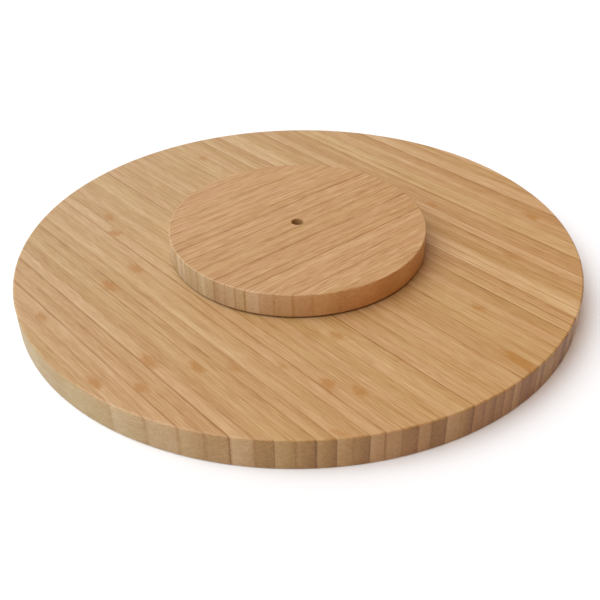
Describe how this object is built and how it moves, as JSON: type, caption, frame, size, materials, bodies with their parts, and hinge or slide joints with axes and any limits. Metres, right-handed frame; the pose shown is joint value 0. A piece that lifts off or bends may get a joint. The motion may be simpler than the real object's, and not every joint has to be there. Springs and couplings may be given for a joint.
{
  "type": "lazy susan turntable",
  "caption": "Round bamboo serving board that turns on a smaller round bamboo base, on a ring of steel balls. Stored upside down, base on top.",
  "frame": {"origin": "centre of the serving face, on the axis the boards turn about. The part is stored upside down: the serving face is the lowest face, at z = 0, and the base board is on top, up to z = 0.035. To use it, turn it over, half a turn about X.", "axes": "+Z along the turning axis, from the serving board to the base board. +X along the serving board's staves. +Y across them. The base board's staves stand 88.6 degrees round from +X."},
  "size_m": [0.35, 0.35, 0.035],
  "materials": {
    "board_bamboo": "side-pressed bamboo staves, sanded and oiled",
    "base_bamboo": "side-pressed bamboo staves, sanded and oiled",
    "pressed_steel": "pressed sheet, bright zinc plated",
    "ball_steel": "polished bearing steel",
    "zinc_steel": "bright zinc plated",
    "nylon": "moulded, natural",
    "brass": "turned"
  },
  "bodies": {
    "base": {"base_board": "base_bamboo", "base_race_plate": "pressed_steel", "base_plate_screw_1": "zinc_steel", "base_plate_screw_2": "zinc_steel", "base_plate_screw_3": "zinc_steel", "base_plate_screw_4": "zinc_steel", "pivot_bush": "nylon"},
    "board": {"serving_board": "board_bamboo", "serving_race_plate": "pressed_steel", "serving_plate_screw_1": "zinc_steel", "serving_plate_screw_2": "zinc_steel", "serving_plate_screw_3": "zinc_steel", "serving_plate_screw_4": "zinc_steel", "threaded_insert": "brass", "pivot_screw": "zinc_steel", "pivot_washer": "zinc_steel"},
    "cage": {"ball_cage": "nylon"},
    "ball_01": {"ball_01": "ball_steel"},
    "ball_02": {"ball_02": "ball_steel"},
    "ball_03": {"ball_03": "ball_steel"},
    "ball_04": {"ball_04": "ball_steel"},
    "ball_05": {"ball_05": "ball_steel"},
    "ball_06": {"ball_06": "ball_steel"},
    "ball_07": {"ball_07": "ball_steel"},
    "ball_08": {"ball_08": "ball_steel"},
    "ball_09": {"ball_09": "ball_steel"},
    "ball_10": {"ball_10": "ball_steel"},
    "ball_11": {"ball_11": "ball_steel"},
    "ball_12": {"ball_12": "ball_steel"}
  },
  "joints": [
    {"name": "board_spin", "type": "hinge", "parent": "base", "child": "board", "pos_m": [0, 0, 0.0195], "axis": [0, 0, 1], "continuous": true},
    {"name": "cage_spin", "type": "hinge", "parent": "base", "child": "cage", "pos_m": [0, 0, 0.0195], "axis": [0, 0, 1], "continuous": true},
    {"name": "ball_01_roll", "type": "hinge", "parent": "cage", "child": "ball_01", "pos_m": [0.042, 0, 0.0195], "axis": [1, 0, 0], "continuous": true},
    {"name": "ball_02_roll", "type": "hinge", "parent": "cage", "child": "ball_02", "pos_m": [0.03637, 0.021, 0.0195], "axis": [0.866, 0.5, 0], "continuous": true},
    {"name": "ball_03_roll", "type": "hinge", "parent": "cage", "child": "ball_03", "pos_m": [0.021, 0.03637, 0.0195], "axis": [0.5, 0.866, 0], "continuous": true},
    {"name": "ball_04_roll", "type": "hinge", "parent": "cage", "child": "ball_04", "pos_m": [0, 0.042, 0.0195], "axis": [0, 1, 0], "continuous": true},
    {"name": "ball_05_roll", "type": "hinge", "parent": "cage", "child": "ball_05", "pos_m": [-0.021, 0.03637, 0.0195], "axis": [-0.5, 0.866, 0], "continuous": true},
    {"name": "ball_06_roll", "type": "hinge", "parent": "cage", "child": "ball_06", "pos_m": [-0.03637, 0.021, 0.0195], "axis": [-0.866, 0.5, 0], "continuous": true},
    {"name": "ball_07_roll", "type": "hinge", "parent": "cage", "child": "ball_07", "pos_m": [-0.042, 0, 0.0195], "axis": [-1, 0, 0], "continuous": true},
    {"name": "ball_08_roll", "type": "hinge", "parent": "cage", "child": "ball_08", "pos_m": [-0.03637, -0.021, 0.0195], "axis": [-0.866, -0.5, 0], "continuous": true},
    {"name": "ball_09_roll", "type": "hinge", "parent": "cage", "child": "ball_09", "pos_m": [-0.021, -0.03637, 0.0195], "axis": [-0.5, -0.866, 0], "continuous": true},
    {"name": "ball_10_roll", "type": "hinge", "parent": "cage", "child": "ball_10", "pos_m": [0, -0.042, 0.0195], "axis": [0, -1, 0], "continuous": true},
    {"name": "ball_11_roll", "type": "hinge", "parent": "cage", "child": "ball_11", "pos_m": [0.021, -0.03637, 0.0195], "axis": [0.5, -0.866, 0], "continuous": true},
    {"name": "ball_12_roll", "type": "hinge", "parent": "cage", "child": "ball_12", "pos_m": [0.03637, -0.021, 0.0195], "axis": [0.866, -0.5, 0], "continuous": true}
  ],
  "couplings": [
    {"joint": "cage_spin", "follows": "board_spin", "ratio": 0.5},
    {"joint": "ball_01_roll", "follows": "board_spin", "ratio": 7},
    {"joint": "ball_02_roll", "follows": "board_spin", "ratio": 7},
    {"joint": "ball_03_roll", "follows": "board_spin", "ratio": 7},
    {"joint": "ball_04_roll", "follows": "board_spin", "ratio": 7},
    {"joint": "ball_05_roll", "follows": "board_spin", "ratio": 7},
    {"joint": "ball_06_roll", "follows": "board_spin", "ratio": 7},
    {"joint": "ball_07_roll", "follows": "board_spin", "ratio": 7},
    {"joint": "ball_08_roll", "follows": "board_spin", "ratio": 7},
    {"joint": "ball_09_roll", "follows": "board_spin", "ratio": 7},
    {"joint": "ball_10_roll", "follows": "board_spin", "ratio": 7},
    {"joint": "ball_11_roll", "follows": "board_spin", "ratio": 7},
    {"joint": "ball_12_roll", "follows": "board_spin", "ratio": 7}
  ]
}
